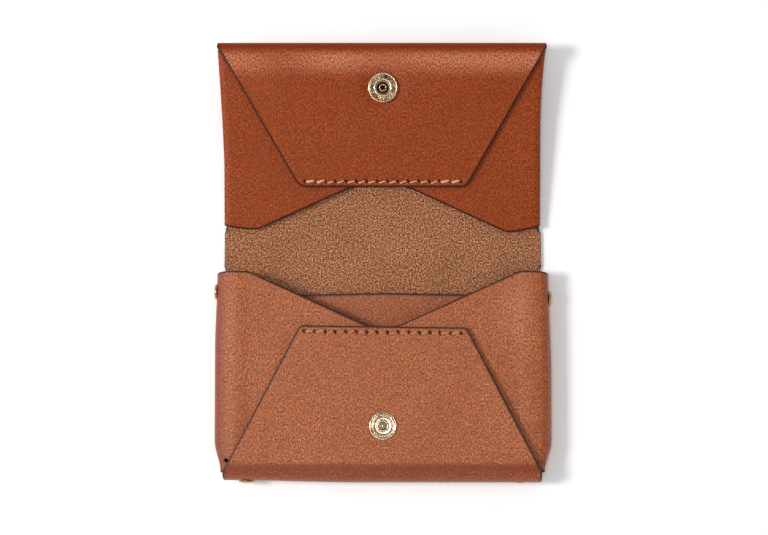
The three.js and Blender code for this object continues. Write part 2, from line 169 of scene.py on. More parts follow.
def edge_distance(points, loops, free_edge):
    """Distance from each point to the nearest cut edge. free_edge says which segments are cut edges."""
    best = np.full(len(points), 1e9)
    for loop in loops:
        nxt = np.roll(loop, -1, axis=0)
        for a, b in zip(loop, nxt):
            if not free_edge(a, b):
                continue
            near = ((points[:, 0] > min(a[0], b[0]) - 2) & (points[:, 0] < max(a[0], b[0]) + 2)
                    & (points[:, 1] > min(a[1], b[1]) - 2) & (points[:, 1] < max(a[1], b[1]) + 2))
            if not near.any():
                continue
            p = points[near]
            d = b - a
            t = np.clip(((p - a) @ d) / (d @ d), 0, 1)
            gap = np.linalg.norm(p - (a + t[:, None] * d), axis=1)
            best[near] = np.minimum(best[near], gap)
    return best


# A leather sheet: cut from a flat outline, folded by a map, with worked edges
EDGE_ROUND = 0.34  # radius of the worked edges
EDGE_BAND = 0.05  # faces nearer to a cut edge than this have the edge's look
RINGS = (0.1, 0.22, 0.36, 0.9)  # distances from the edge of the extra rows of points
OUTLINE_SPACING = 0.8
HOLE_SPACING = 0.35
ROW_SPACING = 0.866  # of the spacing, for a grid of even triangles
FOLD_STEP = 0.12  # the slope of a fold is taken over this length each way
SHARP_EDGE = math.radians(62)
POCKET_SPACING = 1.3
DIVIDER_SPACING = 1.8


def every_edge(a, b):
    return True


def sheet_attribute(mesh, name, values):
    """Keeps the flat sheet's values at the points of both of its faces."""
    both = np.concatenate([values, values]).astype(np.float32)
    kind, key = ("FLOAT_VECTOR", "vector") if both.ndim == 2 else ("FLOAT", "value")
    mesh.attributes.new(name, kind, "POINT").data.foreach_set(key, both.ravel())


def sheet_mesh(name, outline, holes, fold, thickness, spacing, free_edge=every_edge, painted_light=None):
    """Builds the solid sheet. fold maps flat points to the middle of the leather in 3-D. The last
    argument gives painted light from -1 to 1: above zero painted shade at folds and walls, and below zero
    painted sheen."""
    outer = resampled(outline, OUTLINE_SPACING)
    loops = [outer] + [resampled(h, HOLE_SPACING) for h in holes]
    low, high = outer.min(axis=0), outer.max(axis=0)
    xs = np.arange(low[0] + spacing / 2, high[0], spacing)
    ys = np.arange(low[1] + spacing / 2, high[1], spacing * ROW_SPACING)
    grid = np.vstack([np.column_stack([xs + row % 2 * spacing / 2, np.full(len(xs), y)])
                      for row, y in enumerate(ys)])
    grid = grid[inside(grid, loops)]
    grid = grid[edge_distance(grid, loops, every_edge) > RINGS[-1] + spacing * 0.3]

    # Rows of points beside every edge
    extra = [grid]
    for loop in loops:
        previous, following = np.roll(loop, 1, axis=0), np.roll(loop, -1, axis=0)
        tangent = following - previous
        tangent /= np.linalg.norm(tangent, axis=1)[:, None]
        normal = np.column_stack([-tangent[:, 1], tangent[:, 0]])
        for depth in RINGS:
            for sign in (1, -1):
                ring = loop + normal * depth * sign
                ring = ring[inside(ring, loops)]
                if not len(ring):
                    continue
                true_gap = edge_distance(ring, loops, every_edge)
                extra.append(ring[np.abs(true_gap - depth) < 0.02])

    # Triangles between all of the points, without those outside the sheet or in its holes
    edges, start = [], 0
    for loop in loops:
        n = len(loop)
        edges += [(start + i, start + (i + 1) % n) for i in range(n)]
        start += n
    vertices = [Vector(p) for block in loops + extra for p in block]
    flat, _, faces, *_ = delaunay_2d_cdt(vertices, edges, [], 0, 1e-4)
    flat = np.array([tuple(v) for v in flat])
    faces = np.array([f for f in faces if len(f) == 3])
    centres = flat[faces].mean(axis=1)
    faces = faces[inside(centres, loops)]
    a, b, c = (flat[faces[:, i]] for i in range(3))
    area = (b[:, 0] - a[:, 0]) * (c[:, 1] - a[:, 1]) - (b[:, 1] - a[:, 1]) * (c[:, 0] - a[:, 0])
    faces[area < 0] = faces[area < 0][:, ::-1]

    used, numbers = np.unique(faces, return_inverse=True)
    flat, faces = flat[used], numbers.reshape(faces.shape)

    # The two faces, which come closer together towards the rounded edges
    gap = edge_distance(flat, loops, free_edge)
    depth = np.clip(EDGE_ROUND - gap, 0, EDGE_ROUND)
    half = thickness / 2 - EDGE_ROUND + np.sqrt(EDGE_ROUND ** 2 - depth ** 2)
    middle = fold(flat)
    du = fold(flat + [FOLD_STEP, 0]) - fold(flat - [FOLD_STEP, 0])
    dv = fold(flat + [0, FOLD_STEP]) - fold(flat - [0, FOLD_STEP])
    normal = np.cross(du, dv)
    normal /= np.linalg.norm(normal, axis=1)[:, None]
    upper = middle + normal * half[:, None]
    lower = middle - normal * half[:, None]

    # The rim joins the two faces along every outline.
    directed = dict.fromkeys((tri[i], tri[(i + 1) % 3]) for tri in faces for i in range(3))
    rim = [(p, q) for (p, q) in directed if (q, p) not in directed]
    n = len(flat)
    all_faces = [tuple(f) for f in faces] + [tuple(f[::-1] + n) for f in faces]
    all_faces += [(q, p, p + n, q + n) for p, q in rim]
    at_edge = gap[faces].min(axis=1) < EDGE_BAND
    kinds = [np.where(at_edge, 2, 0), np.where(at_edge, 2, 1), np.full(len(rim), 2)]
    points = np.vstack([upper, lower])
    points[:, 1] += SHIFT_Y
    mesh = bpy.data.meshes.new(name)
    mesh.from_pydata((points * MM).tolist(), [], [tuple(int(i) for i in f) for f in all_faces])
    mesh.polygons.foreach_set("material_index", np.concatenate(kinds).astype(np.int32))
    mesh.polygons.foreach_set("use_smooth", [True] * len(all_faces))
    sheet_attribute(mesh, "flat", np.column_stack([flat, np.zeros(n)]))
    # Only the outline gets the dark edge band of burnishing and painted shadow, and the holes don't.
    sheet_attribute(mesh, "gap", edge_distance(flat, loops[:1], free_edge))
    # Painted shade above zero and painted sheen below zero
    sheet_attribute(mesh, "painted_light", painted_light(flat) if painted_light else np.zeros(n))
    mesh.update()
    mesh.set_sharp_from_angle(angle=SHARP_EDGE)
    return link_object(name, mesh)


# Helpers for the folds
def bezier(controls, t):
    p0, p1, p2, p3 = (np.asarray(c, float) for c in controls)
    t = t[:, None]
    return (1 - t) ** 3 * p0 + 3 * t * (1 - t) ** 2 * p1 + 3 * t * t * (1 - t) * p2 + t ** 3 * p3


def bezier_length(controls):
    points = bezier(controls, np.linspace(0, 1, 60))
    return float(np.linalg.norm(np.diff(points, axis=0), axis=1).sum())


def wall_section(slim, full, t, swell):
    """The places at t of a wall's section, swollen from its slim form towards its full one."""
    path = bezier(slim, t)
    return path + (bezier(full, t) - path) * swell[:, None]


def flap_half(y, start, end):
    """Half width at y of a front flap, which changes evenly between two (y, half width) places."""
    (y0, half0), (y1, half1) = start, end
    return half0 + (half1 - half0) * (y - y0) / (y1 - y0)


def smooth(t):
    """An even step from 0 to 1."""
    t = np.clip(t, 0, 1)
    return t * t * (3 - 2 * t)


def waves(x, y, seed, scale):
    """A gentle unevenness of about one unit, the same on every run."""
    total = np.zeros(len(x))
    rng = np.random.default_rng(seed)
    for _ in range(7):
        angle = rng.uniform(0, math.pi * 2)
        length = scale * rng.uniform(0.7, 1.9)
        phase = rng.uniform(0, math.pi * 2)
        total += np.sin((x * math.cos(angle) + y * math.sin(angle)) * 2 * math.pi / length + phase)
    return total / 3.5


def turn_upper(points, angle=UPPER_LIFT):
    """Turns points about the upper fold, by default as what is fixed to the upper pocket at rest."""
    y = points[:, 1] - UPPER_FOLD_Y
    z = points[:, 2] - UPPER_FOLD_Z
    result = points.copy()
    result[:, 1] = UPPER_FOLD_Y + y * np.cos(angle) - z * np.sin(angle)
    result[:, 2] = UPPER_FOLD_Z + y * np.sin(angle) + z * np.cos(angle)
    return result


def lifted(points):
    """The upper sheet as it stands at rest, bending over the fold's reach."""
    t = smooth((points[:, 1] - (UPPER_FOLD_Y - BEND_REACH)) / (2 * BEND_REACH))
    result = turn_upper(points, t * UPPER_LIFT)
    # The turn would press the back of the sheet below the table just beside the fold.
    result[:, 2] = np.maximum(result[:, 2], np.minimum(points[:, 2], BACK_MID))
    return result


# Lower pocket. Each wall's section is a curve of (distance from the middle, height).
LOWER_SIDE_START = 51.6
LOWER_SIDE_SLIM = [(51.6, 0.6), (53.4, 0.6), (53.5, 6.4), (53.1, 8.0)]
LOWER_SIDE = [(51.6, 0.6), (55.5, 0.6), (55.8, 6.4), (53.1, 8.0)]
LOWER_SIDE_LENGTH = bezier_length(LOWER_SIDE)
LOWER_SIDE_CREASE = LOWER_SIDE_START + LOWER_SIDE_LENGTH
LOWER_MOUTH_Y = -4.95
LOWER_SLIT = 52.6  # the slit that parts each side arm from the bottom wall
LOWER_SLIT_Y = -69.3
LOWER_BASE_START = 69.6
LOWER_BASE_SLIM = [(69.6, 0.6), (71.2, 0.6), (71.6, 8.2), (70.9, 9.5)]
LOWER_BASE = [(69.6, 0.6), (74.2, 0.6), (75.4, 8.2), (70.9, 9.5)]
LOWER_BASE_LENGTH = bezier_length(LOWER_BASE)
LOWER_BASE_CREASE = LOWER_BASE_START + LOWER_BASE_LENGTH
LOWER_FLAP_FOLD = (-71, 52.6)  # y and half width of the front flap at its fold
LOWER_FLAP_FREE = (LOWER_FREE_Y, 27.1)  # the same at its free edge


def lower_fold(flat):
    """s runs from 0 to 1 up each wall, and is above 1 on the flap beyond it."""
    u, v = flat[:, 0], flat[:, 1]
    out = np.column_stack([u, v, np.full(len(u), BACK_MID)])
    side = np.abs(u)
    sign = np.sign(u)

    # Side walls and their flaps
    arm = (side > LOWER_SIDE_START) & ((v > LOWER_SLIT_Y) | (side > LOWER_SLIT - 0.05))
    if arm.any():
        s = (side[arm] - LOWER_SIDE_START) / LOWER_SIDE_LENGTH
        left, va = u[arm] < 0, v[arm]
        # The walls swell from the mouth down, the right one more, and are pinched in at the corners.
        least, most = 0.45, np.where(left, 0.92, 1.06)
        swell = least + (most - least) * smooth((-va - 5) / np.where(left, 26, 34))
        swell *= 1 - 1.05 * smooth((-va - 61) / 11)
        pinch = 0.7 * smooth((-va - 60) / 10) * smooth(s / 0.3)
        path = wall_section(LOWER_SIDE_SLIM, LOWER_SIDE, np.clip(s, 0, 1), swell)
        end_x, end_z = LOWER_SIDE[3]
        beyond = np.maximum(side[arm] - LOWER_SIDE_CREASE, 0)
        x = np.where(s <= 1, path[:, 0], end_x - beyond) - pinch
        z = np.where(s <= 1, path[:, 1], end_z)
        # Just inside its crease the flap rises a little, then lies level.
        z += 0.42 * np.sin(np.clip(beyond / 9, 0, 1) * math.pi) * (s > 1)
        z += 0.12 * waves(x * sign[arm], va, 3, 34) * smooth(beyond / 8) * (s > 1)
        out[arm, 0] = x * sign[arm]
        out[arm, 2] = z

    # Bottom wall and front flap
    arm = (v < -LOWER_BASE_START) & ~arm
    if arm.any():
        s = (-v[arm] - LOWER_BASE_START) / LOWER_BASE_LENGTH
        ua = u[arm]
        swell = 0.7 + 0.3 * smooth((ua + 52) / 44)
        path = wall_section(LOWER_BASE_SLIM, LOWER_BASE, np.clip(s, 0, 1), swell)
        end_y, end_z = LOWER_BASE[3]
        beyond = np.maximum(-v[arm] - LOWER_BASE_CREASE, 0)
        y = np.where(s <= 1, -path[:, 0], beyond - end_y)
        z = np.where(s <= 1, path[:, 1], end_z)
        z += 0.3 * np.sin(np.clip(beyond / 10, 0, 1) * math.pi) * (s > 1)
        z += 0.1 * waves(ua, y, 5, 30) * smooth(beyond / 8) * (s > 1)
        # The right edge stands off the flap below it, and the stud sits in a shallow dish.
        half = flap_half(y, LOWER_FLAP_FOLD, LOWER_FLAP_FREE)
        near_edge = smooth(1 - (half - ua) / 12)
        low_down = smooth((-y - 30) / 22) * smooth((72 + y) / 8)
        z += 0.9 * near_edge * low_down * (s > 1)
        z -= 0.28 * np.exp(-(np.hypot(ua, y - STUD_Y) / 6.2) ** 2) * (s > 1)
        out[arm, 1] = y
        out[arm, 2] = z
    return out


def lower_flap_u(x):
    """Flat coordinate of the side flap's point that lies x from the middle once it is folded."""
    return LOWER_SIDE_CREASE + LOWER_SIDE[3][0] - x


def lower_front_v(y):
    """Flat coordinate of the front flap's point that lies at y once it is folded."""
    return -(LOWER_BASE_CREASE + LOWER_BASE[3][0] + y)


def lower_side_points(side, mouth_x, tip_x):
    """Outline of one side arm, from its mouth round to the corner notch."""
    points = [
        (LOWER_SIDE_START + 0.6, LOWER_MOUTH_Y), (LOWER_SIDE_CREASE - 3.4, -5.9),
        (LOWER_SIDE_CREASE + 2, -4.92), (lower_flap_u(mouth_x), LOWER_MOUTH_Y),
        (lower_flap_u(4.5), -23.2), (lower_flap_u(tip_x), -23.3),
        (lower_flap_u(tip_x), -30), (lower_flap_u(50.2), -67.2), (LOWER_SIDE_CREASE + 0.4, -70.9),
        (LOWER_SIDE_CREASE - 4, -71.2), (LOWER_SLIT + 0.2, -70.2), (LOWER_SLIT, LOWER_SLIT_Y),
    ]
    radii = [0, 2.4, 1.0, 1.4, 3.0, 0.5, 0.8, 0.8, 0.8, 1.2, 0.3, 0]
    return [(side * u, v) for u, v in points], radii


def lower_outline():
    right, right_radii = lower_side_points(1, 44.9, 0.5)
    left, left_radii = lower_side_points(-1, 44.3, 0.5)
    base = [
        (51.7, -70.2), (52.1, -LOWER_BASE_CREASE), (51.6, lower_front_v(-69.8)),
        (27.5, lower_front_v(LOWER_FREE_Y - 0.75)), (-27.2, lower_front_v(LOWER_FREE_Y)),
        (-51.9, lower_front_v(-69.8)), (-52.4, -LOWER_BASE_CREASE), (-51.9, -70.2),
    ]
    base_radii = [0.3, 0.8, 0.6, 1.1, 1.2, 0.6, 0.8, 0.3]
    points = [(SPINE_HALF, SEAM_Y)] + right + base + left[::-1] + [(-SPINE_HALF, SEAM_Y)]
    radii = [0] + right_radii + base_radii + left_radii[::-1] + [0]
    return rounded(points, radii)


def stitch_places(y, drop=0.0):
    """Middles of a row's holes, set a little unevenly. The row runs drop to each side of y."""
    middle = (STITCHES - 1) / 2
    rng = np.random.default_rng(int(abs(y) * 10))
    places = []
    for i in range(STITCHES):
        x = (i - middle) * STITCH_PITCH + rng.uniform(-0.12, 0.12)
        places.append((x, y + drop * (i - middle) / middle + rng.uniform(-0.08, 0.08)))
    return places


LOWER_SLOT = (1.35, 0.8)  # length and width of the pricked holes
UPPER_SLOT = (1.35, 0.5)
SLOT_SLANT = 52  # their lean on the unfolded sheet, in degrees
STUD_HOLE = 1.5
RELIEF_HOLE = 0.6  # punched at the lower corners, where the folds meet
lower_stitches = stitch_places(LOWER_FREE_Y - STITCH_INSET - 0.35, drop=-0.28)
upper_stitches = stitch_places(UPPER_FREE_Y + STITCH_INSET)


def lower_holes():
    holes = [slot_outline(x, lower_front_v(y), *LOWER_SLOT, SLOT_SLANT) for x, y in lower_stitches]
    holes.append(arc_points(-lower_flap_u(51.6), -67.0, RELIEF_HOLE, 0, 330, 12))
    holes.append(arc_points(lower_flap_u(50.8), -67.9, RELIEF_HOLE, 0, 330, 12))
    holes.append(arc_points(0, lower_front_v(STUD_Y), STUD_HOLE, 0, 345, 24))
    return holes


def is_cut(a, b):
    """Every stretch of the outline is a cut edge, apart from the seam on the spine."""
    return not (abs(a[1] - SEAM_Y) < 1e-3 and abs(b[1] - SEAM_Y) < 1e-3)


# Upper pocket
UPPER_SIDE_LENGTH = 4.3
UPPER_SIDE_INSET = 0.7  # the side folds start this far inside of the half width
UPPER_SIDE_END = 0.1  # and end this far outside of their start
UPPER_TOP_START = 69.1
UPPER_TOP = [(69.1, 0.6), (70.1, 0.6), (70.4, 4.5), (69.0, 4.6)]
UPPER_TOP_LENGTH = bezier_length(UPPER_TOP)
UPPER_TOP_CREASE = UPPER_TOP_START + UPPER_TOP_LENGTH
UPPER_FLAP_FREE = (UPPER_FREE_Y, 27.5)  # y and half width of the front flap at its free edge
UPPER_FLAP_FOLD = (70.2, 53.5)  # the same at its fold
FLAP_RISE = 0.85  # the front flap stands up this far in the middle of SWELL_LENGTH
SWELL_LENGTH = 24


def upper_half_width(v, side):
    """Middle of the leather at the side folds. Both flare towards the top edge, the left one sooner."""
    left = 51.85 + 0.95 * (np.maximum(v - 30, 0) / 21) ** 1.3
    right = 51.5 + 1.75 * (np.maximum(v - 40, 0) / 29) ** 2.2
    return np.where(side < 0, left, right)


def flap_swell(beyond):
    return np.sin(np.clip(beyond / SWELL_LENGTH, 0, 1) * math.pi) ** 1.5


def upper_fold(flat):
    u, v = flat[:, 0], flat[:, 1]
    out = np.column_stack([u, v, np.full(len(u), BACK_MID)])
    side = np.abs(u)
    sign = np.sign(u)
    start = upper_half_width(v, sign) - UPPER_SIDE_INSET
    arm = (side > start) & (v < 68.6) & ((v > 8.5) | ((v > 7.0) & (side > 54)))
    if arm.any():
        base = start[arm]
        s = (side[arm] - base) / UPPER_SIDE_LENGTH
        section = [(0, BACK_MID), (1.0, BACK_MID), (1.1, 3.0), (UPPER_SIDE_END, UPPER_FLAP_MID)]
        path = bezier([np.column_stack([base + out_by, 0 * base + z]) for out_by, z in section],
                      np.clip(s, 0, 1))
        beyond = np.maximum(side[arm] - base - UPPER_SIDE_LENGTH, 0)
        x = np.where(s <= 1, path[:, 0], base + UPPER_SIDE_END - beyond)
        z = np.where(s <= 1, path[:, 1], UPPER_FLAP_MID)
        z += 0.1 * waves(x * sign[arm], v[arm], 11, 30) * smooth(beyond / 8) * (s > 1)
        out[arm, 0] = x * sign[arm]
        out[arm, 2] = z
    arm = v > UPPER_TOP_START
    if arm.any():
        s = (v[arm] - UPPER_TOP_START) / UPPER_TOP_LENGTH
        ua = u[arm]
        path = bezier(UPPER_TOP, np.clip(s, 0, 1))
        end_y, end_z = UPPER_TOP[3]
        beyond = np.maximum(v[arm] - UPPER_TOP_CREASE, 0)
        y = np.where(s <= 1, path[:, 0], end_y - beyond)
        z = np.where(s <= 1, path[:, 1], end_z)
        # Below its fold the flap swells a little, lies close along its slanted edges, and dips
        # under the socket.
        inner = smooth((flap_half(y, UPPER_FLAP_FREE, UPPER_FLAP_FOLD) - np.abs(ua)) / 13)
        z += FLAP_RISE * flap_swell(beyond) * inner * (s > 1)
        z += 0.1 * waves(ua, y, 17, 32) * inner * smooth(beyond / 8) * (s > 1)
        dip = 0.3 + FLAP_RISE * flap_swell(end_y - SOCKET_Y)
        z -= dip * np.exp(-(np.hypot(ua, y - SOCKET_Y) / 6.4) ** 4) * (s > 1)
        out[arm, 1] = y
        out[arm, 2] = z
    return lifted(out)


def upper_flap_u(x, v, side):
    base = float(upper_half_width(v, side)) - UPPER_SIDE_INSET
    return base + UPPER_SIDE_LENGTH + base + UPPER_SIDE_END - x


def upper_front_v(y):
    return UPPER_TOP_CREASE + UPPER_TOP[3][0] - y


def upper_side_points(side, mouth):
    """Outline of one side arm of the upper pocket, from its mouth to the top corner."""
    shoulder = float(upper_half_width(68.6, side))
    points = [(51.75, 10.6)]
    points += [(upper_flap_u(x, y, side), y) for x, y in mouth]
    points += [
        (upper_flap_u(0.5, 23.5, side), 23.5), (upper_flap_u(0.5, 29, side), 29),
        (upper_flap_u(50.6, 63.5, side), 63.5), (upper_flap_u(shoulder - 0.6, 68, side), 68),
        (shoulder, 68.5),
    ]
    radii = [0.4] + [1.2] * (len(mouth) - 1) + [2.0] + [0.5, 0.8, 0.8, 0.6, 0.2]
    return [(side * u, v) for u, v in points], radii


def upper_outline():
    left_mouth = [(51.2, 9.9), (46.0, 9.1), (41.2, 9.0), (10.0, 23.0)]
    right_mouth = [(51.0, 9.7), (44.0, 8.2), (40.6, 8.1), (8.4, 22.8)]
    right, right_radii = upper_side_points(1, right_mouth)
    left, left_radii = upper_side_points(-1, left_mouth)
    top = [
        (53.6, 69.3), (54.1, UPPER_TOP_CREASE + 0.4), (53.0, upper_front_v(67.6)),
        (27.6, upper_front_v(UPPER_FREE_Y)), (-27.6, upper_front_v(UPPER_FREE_Y)),
        (-53.6, upper_front_v(67.8)), (-54.7, UPPER_TOP_CREASE + 0.4), (-54.2, 69.3),
    ]
    top_radii = [0.3, 1.0, 0.8, 2.0, 2.6, 0.8, 1.0, 0.3]
    points = [(-SPINE_HALF, SEAM_Y), (-52.5, 8.8)] + left + top[::-1]
    points += right[::-1] + [(52.5, 8.8), (SPINE_HALF, SEAM_Y)]
    radii = [0, 0.2] + left_radii + top_radii[::-1] + right_radii[::-1] + [0.2, 0]
    return rounded(points[::-1], radii[::-1])


def upper_holes():
    holes = [slot_outline(x, upper_front_v(y), *UPPER_SLOT, SLOT_SLANT) for x, y in upper_stitches]
    holes.append(arc_points(0, upper_front_v(SOCKET_Y), STUD_HOLE, 0, 345, 24))
    return holes


# Divider, with four tabs that turn up beside the walls
TAB_RADIUS = 1.6
TAB_SIDE = 51.4  # the side tabs bend from here, and the lower ones from TAB_BASE
TAB_BASE = 70.3


def tab_turn(s):
    """How far out and up a tab's point lies, s along the sheet from where the bend starts."""
    turn = np.clip(s / TAB_RADIUS, 0, math.pi / 2)
    above = np.maximum(s - TAB_RADIUS * math.pi / 2, 0)
    return TAB_RADIUS * np.sin(turn), TAB_RADIUS * (1 - np.cos(turn)) + above


def divider_fold(flat):
    u, v = flat[:, 0], flat[:, 1]
    out = np.column_stack([u, v, np.full(len(u), DIVIDER_MID)])
    # The free top edge rises a little towards the mouth.
    rise = smooth((v + 34) / 24)
    out[:, 2] += 1.5 * rise * (1 - (u / 60) ** 2) + 0.08 * waves(u, v, 23, 40)
    side = np.abs(u)
    tab = (side > TAB_SIDE) & (v > -30)
    outwards, up = tab_turn(side[tab] - TAB_SIDE)
    out[tab, 0] = (TAB_SIDE + outwards) * np.sign(u[tab])
    out[tab, 2] += up
    tab = v < -TAB_BASE
    outwards, up = tab_turn(-TAB_BASE - v[tab])
    out[tab, 1] = -TAB_BASE - outwards
    out[tab, 2] += up
    return out


def divider_outline():
    points = [
        (-24, -12.5), (0, -12.0), (24, -12.4), (46.5, -12.6), (50.6, -14.0), (50.9, -10.4),
        (56.6, -10.4), (56.6, -17.6), (51.0, -17.6), (50.9, -69.4), (48.4, -70.2), (48.4, -75.6),
        (40.8, -75.6), (40.8, -70.0), (-40.8, -70.0), (-40.8, -75.6), (-48.4, -75.6),
        (-48.4, -70.2), (-50.9, -69.4), (-51.0, -15.4), (-56.6, -15.4), (-56.6, -8.2),
        (-50.9, -8.2), (-50.6, -13.2), (-46.5, -12.8),
    ]
    return rounded(points[::-1], [0.6] * len(points), steps=4)


# Materials. Colours are given as they look on screen and turned into scene values here.
def tone(red, green, blue):
    def linear(c):
        c /= 255
        return c / 12.92 if c <= 0.04045 else ((c + 0.055) / 1.055) ** 2.4
    return (linear(red), linear(green), linear(blue), 1.0)


class Shader:
    """A small helper that keeps one material's nodes together."""

    def __init__(self, name, roughness=0.5, metallic=0.0):
        self.material = bpy.data.materials.new(name)
        self.material.use_nodes = True
        self.nodes = self.material.node_tree.nodes
        self.links = self.material.node_tree.links
        self.shader = self.nodes["Principled BSDF"]
        self.shader.inputs["Roughness"].default_value = roughness
        self.shader.inputs["Metallic"].default_value = metallic

    def put(self, socket, value):
        """Links another node's output to the socket, or sets a plain number or colour there."""
        if hasattr(value, "is_output"):
            self.links.new(value, socket)
        else:
            socket.default_value = value

    def add(self, kind, inputs=None, **settings):
        node = self.nodes.new(kind)
        for key, value in settings.items():
            setattr(node, key, value)
        for key, value in (inputs or {}).items():
            self.put(node.inputs[key], value)
        return node

    def math(self, operation, a, b):
        return self.add("ShaderNodeMath", {0: a, 1: b}, operation=operation).outputs[0]

    def flat(self):
        """Where each point lies on the flat sheet."""
        return self.add("ShaderNodeAttribute", attribute_name="flat").outputs["Vector"]

    def body(self):
        """Where each point lies in space, in metres."""
        return self.add("ShaderNodeTexCoord").outputs["Object"]

    def stretched(self, place, scale):
        return self.add("ShaderNodeMapping", {"Vector": place, "Scale": scale}).outputs[0]

    def value(self, name):
        return self.add("ShaderNodeAttribute", attribute_name=name).outputs["Fac"]

    def noise(self, place, scale, detail=4.0, rough=0.55):
        inputs = {"Vector": place, "Scale": scale, "Detail": detail, "Roughness": rough}
        return self.add("ShaderNodeTexNoise", inputs).outputs[0]

    def cells(self, place, scale):
        return self.add("ShaderNodeTexVoronoi", {"Vector": place, "Scale": scale}).outputs["Distance"]

    def band(self, value, low, high, to_low=0.0, to_high=1.0):
        """Takes the value from its range of low to high into another range."""
        inputs = {0: value, 1: low, 2: high, 3: to_low, 4: to_high}
        return self.add("ShaderNodeMapRange", inputs, clamp=True).outputs[0]

    def mix(self, factor, a, b):
        node = self.add("ShaderNodeMix", data_type="RGBA")
        for socket, value in ((node.inputs[0], factor), (node.inputs[6], a), (node.inputs[7], b)):
            self.put(socket, value)
        return node.outputs[2]

    def bump(self, height, strength, distance, under=None):
        inputs = {"Height": height, "Strength": strength, "Distance": distance}
        if under is not None:
            inputs["Normal"] = under
        return self.add("ShaderNodeBump", inputs).outputs[0]

    def finish(self, colour=None, roughness=None, normal=None):
        for key, value in (("Base Color", colour), ("Roughness", roughness), ("Normal", normal)):
            if value is not None:
                self.put(self.shader.inputs[key], value)
        return self.material


PORES = tone(78, 30, 14)
# Painted shade at the folds and on the walls
PAINTED_SHADE = tone(116, 40, 12)
# Painted sheen beside the folds
PAINTED_SHEEN = tone(228, 152, 112)
# Dark edge colour of burnishing, also painted shadow along the flap edges
EDGE_BURNISH_AND_SHADE = tone(36, 16, 10)


def grain_leather(name, base, deep, pale, pebble, gloss, wax, burnish_and_shade_width):
    """Waxed grain side: fine pebbles, pores in the valleys, painted shade at the folds and walls, painted
    sheen beside them, and a dark band at the cut edges from burnishing and painted shadow, as wide in
    millimetres as the last argument."""
    s = Shader(name, roughness=gloss)
    flat = s.flat()
    along = s.stretched(flat, (1.0, 0.6, 1.0))
    cloud = s.noise(flat, 0.045, 5.0)
    mottle = s.noise(flat, 0.35, 3.0)
    grain = s.noise(along, 2.4, 4.0, 0.62)
    fine = s.noise(along, 5.0, 3.0, 0.6)
    cells = s.cells(along, 2.1)
    both = s.math("ADD", s.math("MULTIPLY", grain, 0.65), s.math("MULTIPLY", fine, 0.35))
    colour = s.mix(s.band(both, 0.44, 0.56), deep, pale)
    colour = s.mix(s.band(cloud, 0.36, 0.66, 0.0, 0.4), colour, base)
    colour = s.mix(s.band(mottle, 0.4, 0.7, 0.0, 0.2), colour, deep)
    colour = s.mix(s.band(cells, 0.3, 0.6, 0.0, 0.35), colour, PORES)
    # Painted shade where the attribute is above zero
    painted_light = s.value("painted_light")
    colour = s.mix(s.band(painted_light, 0.0, 1.0, 0.0, 0.8), colour, PAINTED_SHADE)
    # Painted sheen where it is below zero, broken up by the grain
    painted_sheen_mask = s.math("MULTIPLY", s.band(painted_light, -1.0, 0.0, 1.0, 0.0), s.band(both, 0.44, 0.58, 0.1, 1.0))
    colour = s.mix(painted_sheen_mask, colour, PAINTED_SHEEN)
    # Dark band at the cut edges, from burnishing and painted shadow along the flap edges
    burnish_and_shade_mask = s.band(s.value("gap"), 0.35, burnish_and_shade_width, 0.95, 0.0)
    colour = s.mix(burnish_and_shade_mask, colour, EDGE_BURNISH_AND_SHADE)
    rough = s.band(both, 0.4, 0.6, gloss + 0.1, gloss - 0.06)
    normal = s.bump(cloud, 1.0, 0.0005)
    normal = s.bump(s.band(cells, 0.0, 0.6, 1.0, 0.0), pebble, 0.00006, normal)
    normal = s.bump(both, pebble, 0.00024, normal)
    s.shader.inputs["Specular IOR Level"].default_value = wax
    return s.finish(colour, rough, normal)


def suede_leather(name):
    """Flesh side: short nap, with pale and dark fibres in small tufts."""
    s = Shader(name, roughness=0.97)
    flat = s.flat()
    tufts = s.noise(flat, 1.9, 5.0, 0.8)
    fibres = s.noise(flat, 4.6, 3.0, 0.8)
    cloud = s.noise(flat, 0.07, 4.0)
    both = s.math("ADD", s.math("MULTIPLY", tufts, 0.6), s.math("MULTIPLY", fibres, 0.4))
    colour = s.mix(s.band(both, 0.44, 0.5), tone(34, 15, 8), tone(156, 84, 51))
    colour = s.mix(s.band(both, 0.5, 0.56), colour, tone(255, 194, 144))
    colour = s.mix(s.band(cloud, 0.35, 0.7, 0.0, 0.3), colour, tone(116, 70, 47))
    normal = s.bump(both, 1.0, 0.0005)
    s.shader.inputs["Specular IOR Level"].default_value = 0.12
    s.shader.inputs["Sheen Weight"].default_value = 0.1
    return s.finish(colour, None, normal)


def cut_edge(name):
    """Burnished cut edge: dark, polished smooth, with the fibre layers faintly showing."""
    s = Shader(name, roughness=0.4)
    flat = s.flat()
    layers = s.noise(flat, 1.6, 5.0, 0.6)
    colour = s.mix(s.band(layers, 0.35, 0.7), tone(40, 19, 12), tone(84, 46, 30))
    normal = s.bump(s.noise(flat, 5.0, 3.0), 0.3, 0.0001)
    return s.finish(colour, s.band(layers, 0.3, 0.7, 0.32, 0.52), normal)


def waxed_thread(name, dark, light):
    s = Shader(name, roughness=0.62)
    place = s.body()
    fibre = s.noise(place, 5200.0, 4.0, 0.7)
    colour = s.mix(s.band(fibre, 0.3, 0.72), dark, light)
    normal = s.bump(fibre, 0.5, 0.00008)
    return s.finish(colour, None, normal)


def plated_metal(name, light, shade, rough):
    """Plated metal: fine handling scratches, slightly uneven gloss and a few stains."""
    s = Shader(name, roughness=rough, metallic=1.0)
    place = s.body()
    stain = s.noise(place, 420.0, 4.0)
    scratch = s.noise(s.stretched(place, (1.0, 7.0, 1.0)), 1500.0, 3.0, 0.7)
    colour = s.mix(s.band(stain, 0.35, 0.7), light, shade)
    roughness = s.band(scratch, 0.3, 0.7, rough - 0.05, rough + 0.1)
    normal = s.bump(scratch, 0.06, 0.00003)
    return s.finish(colour, roughness, normal)
